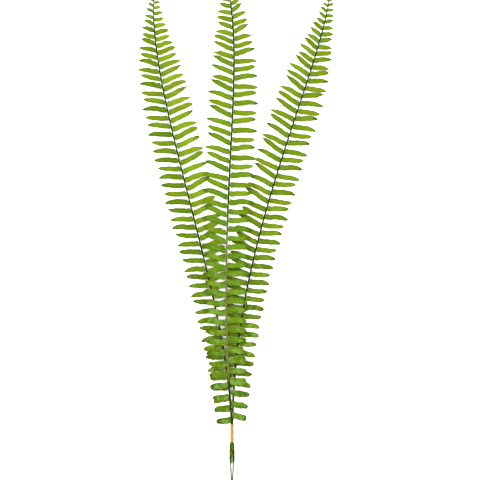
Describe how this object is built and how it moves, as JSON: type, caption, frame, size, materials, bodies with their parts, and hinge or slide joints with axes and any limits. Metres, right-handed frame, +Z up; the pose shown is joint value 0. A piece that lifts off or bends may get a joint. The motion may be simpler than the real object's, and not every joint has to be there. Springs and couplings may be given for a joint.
{
  "type": "fern frond bunch",
  "caption": "Cut bunch of long, narrow sword-fern fronds fanned out flat from stems bound together with plain tan tape.",
  "frame": {"origin": "middle of the bunch's footprint, on the surface that it lies on", "axes": "+Y along the bunch from the cut stems to the frond tips, +Z up off the surface, +X to the right seen from above with the tips away"},
  "size_m": [0.2748, 0.7402, 0.01],
  "materials": {
    "leaflet": "soft satin fresh green leaf",
    "midrib": "dull brown-green stem",
    "basal_leaflet": "dark green leaf",
    "tape": "matt tan stem-wrap tape"
  },
  "bodies": {
    "root": {"right_frond_midrib": "midrib", "right_frond_basal_leaflets": "basal_leaflet", "right_frond_left_leaflets_1": "leaflet", "right_frond_left_leaflets_2": "leaflet", "right_frond_left_leaflets_3": "leaflet", "right_frond_left_leaflets_4": "leaflet", "right_frond_left_leaflets_5": "leaflet", "right_frond_left_leaflets_6": "leaflet", "right_frond_left_leaflets_7": "leaflet", "right_frond_left_leaflets_8": "leaflet", "right_frond_right_leaflets_1": "leaflet", "right_frond_right_leaflets_2": "leaflet", "right_frond_right_leaflets_3": "leaflet", "right_frond_right_leaflets_4": "leaflet", "right_frond_right_leaflets_5": "leaflet", "right_frond_right_leaflets_6": "leaflet", "right_frond_right_leaflets_7": "leaflet", "right_frond_right_leaflets_8": "leaflet", "left_frond_midrib": "midrib", "left_frond_basal_leaflets": "basal_leaflet", "left_frond_left_leaflets_1": "leaflet", "left_frond_left_leaflets_2": "leaflet", "left_frond_left_leaflets_3": "leaflet", "left_frond_left_leaflets_4": "leaflet", "left_frond_left_leaflets_5": "leaflet", "left_frond_left_leaflets_6": "leaflet", "left_frond_left_leaflets_7": "leaflet", "left_frond_left_leaflets_8": "leaflet", "left_frond_right_leaflets_1": "leaflet", "left_frond_right_leaflets_2": "leaflet", "left_frond_right_leaflets_3": "leaflet", "left_frond_right_leaflets_4": "leaflet", "left_frond_right_leaflets_5": "leaflet", "left_frond_right_leaflets_6": "leaflet", "left_frond_right_leaflets_7": "leaflet", "left_frond_right_leaflets_8": "leaflet", "centre_frond_midrib": "midrib", "centre_frond_basal_leaflets": "basal_leaflet", "centre_frond_left_leaflets_1": "leaflet", "centre_frond_left_leaflets_2": "leaflet", "centre_frond_left_leaflets_3": "leaflet", "centre_frond_left_leaflets_4": "leaflet", "centre_frond_left_leaflets_5": "leaflet", "centre_frond_left_leaflets_6": "leaflet", "centre_frond_left_leaflets_7": "leaflet", "centre_frond_left_leaflets_8": "leaflet", "centre_frond_right_leaflets_1": "leaflet", "centre_frond_right_leaflets_2": "leaflet", "centre_frond_right_leaflets_3": "leaflet", "centre_frond_right_leaflets_4": "leaflet", "centre_frond_right_leaflets_5": "leaflet", "centre_frond_right_leaflets_6": "leaflet", "centre_frond_right_leaflets_7": "leaflet", "centre_frond_right_leaflets_8": "leaflet", "binding_tape": "tape"}
  },
  "joints": []
}
